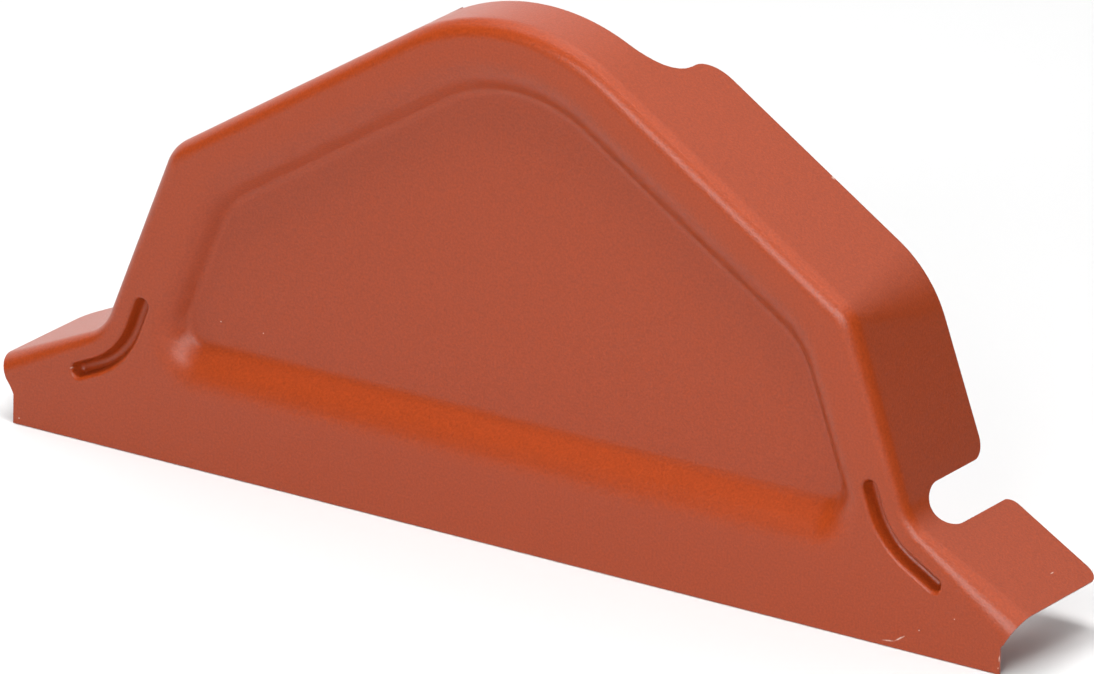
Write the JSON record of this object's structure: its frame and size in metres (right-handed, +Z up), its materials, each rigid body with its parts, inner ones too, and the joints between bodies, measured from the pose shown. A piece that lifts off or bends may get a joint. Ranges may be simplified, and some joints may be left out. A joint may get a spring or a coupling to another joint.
{
  "type": "ridge end cap",
  "caption": "Pressed sheet-metal cap that closes the open end of a trapezoidal roof ridge: a gabled front with a shallow recess, and a flange turned back into the ridge.",
  "frame": {"origin": "middle of the cap's bottom edge, on the front face, which is the plane of the ridge's end", "axes": "+Z up, +Y from the front face into the ridge, along the flange, +X to the right seen from the front"},
  "size_m": [0.2992, 0.0378, 0.135],
  "materials": {
    "coated_sheet": "satin-matt copper-brown polyester coil coating on galvanised steel sheet"
  },
  "bodies": {
    "root": {"cap_sheet": "coated_sheet"}
  },
  "joints": []
}
